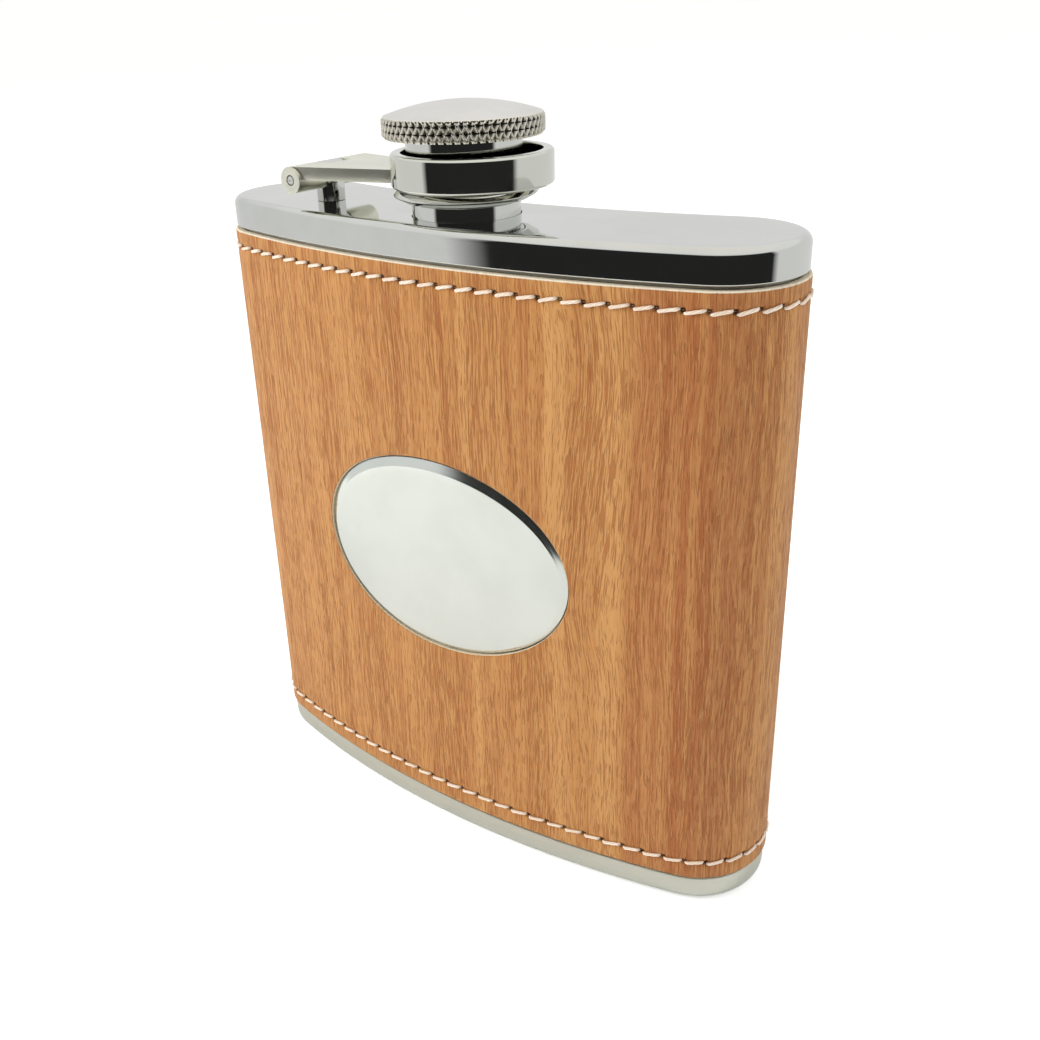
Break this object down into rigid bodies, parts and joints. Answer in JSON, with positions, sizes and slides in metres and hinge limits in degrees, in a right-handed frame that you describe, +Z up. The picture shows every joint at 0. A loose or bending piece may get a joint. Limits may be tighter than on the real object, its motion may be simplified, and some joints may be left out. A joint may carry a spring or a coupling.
{
  "type": "hip flask",
  "caption": "Curved steel pocket flask in a stitched wood-grain wrap with an oval plate and a knurled screw cap held captive by a hinged arm.",
  "frame": {"origin": "centre of the bounding box at the base, on the surface the flask stands on", "axes": "+Z up through the spout, -Y out of the bowed front with the oval plate, +X to the right seen from the front"},
  "size_m": [0.0964, 0.0278, 0.1117],
  "materials": {
    "polished_steel": "mirror polished stainless steel",
    "brushed_steel": "fine satin stainless steel",
    "satin_cap": "satin nickel",
    "wood_grain_wrap": "embossed wood-grain coated fabric, light orange brown, half matt",
    "wrap_backing": "cream woven backing cloth",
    "thread": "waxed cream polyester thread",
    "adhesive_tape": "translucent foam tape",
    "seal_rubber": "black silicone rubber"
  },
  "bodies": {
    "flask": {"body_shell": "brushed_steel", "base_plate": "brushed_steel", "lid_plate": "polished_steel", "filling_spout": "polished_steel", "wrap_backing": "wrap_backing", "wrap_face": "wood_grain_wrap", "upper_stitching": "thread", "lower_stitching": "thread", "oval_plate": "polished_steel", "oval_plate_tape": "adhesive_tape", "hinge_post": "polished_steel", "hinge_pin": "polished_steel"},
    "arm": {"retainer_arm": "polished_steel"},
    "cap": {"cap_head": "satin_cap", "cap_stem": "polished_steel", "cap_flange": "polished_steel", "cap_seal": "seal_rubber"}
  },
  "joints": [
    {"name": "arm_swing", "type": "hinge", "parent": "flask", "child": "arm", "pos_m": [-0.0261, -0.00207, 0.10075], "axis": [0, -1, 0], "range_deg": [0, 155]},
    {"name": "cap_spin", "type": "hinge", "parent": "arm", "child": "cap", "pos_m": [0, -0.00207, 0.103], "axis": [0, 0, 1], "continuous": true}
  ]
}
